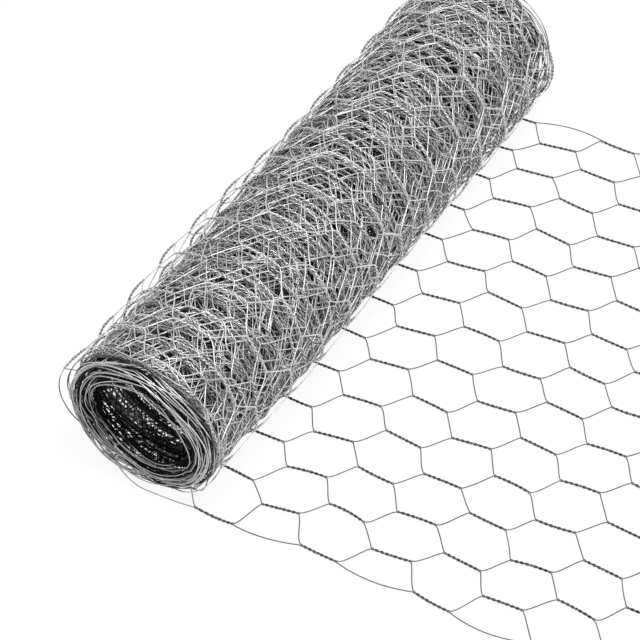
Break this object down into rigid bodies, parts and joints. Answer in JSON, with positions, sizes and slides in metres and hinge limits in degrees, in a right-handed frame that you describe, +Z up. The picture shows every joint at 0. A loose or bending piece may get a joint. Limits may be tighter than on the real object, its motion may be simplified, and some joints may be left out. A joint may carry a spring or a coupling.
{
  "type": "roll of hexagonal wire netting",
  "caption": "Hollow roll of galvanized hexagonal wire netting, lying on the flat stretch that has been pulled off it, for fencing, plant guards and plaster backing.",
  "frame": {"origin": "middle of the roll's open core, on its axis", "axes": "+Y along the roll's axis, +X along the unrolled stretch, +Z up"},
  "size_m": [0.593, 0.611, 0.1571],
  "materials": {
    "galvanized_wire": "galvanized, dull zinc that is brighter on the roll and greyer in the twists"
  },
  "bodies": {
    "root": {"wound_roll": "galvanized_wire", "unrolled_sheet": "galvanized_wire", "loose_turn": "galvanized_wire"}
  },
  "joints": []
}
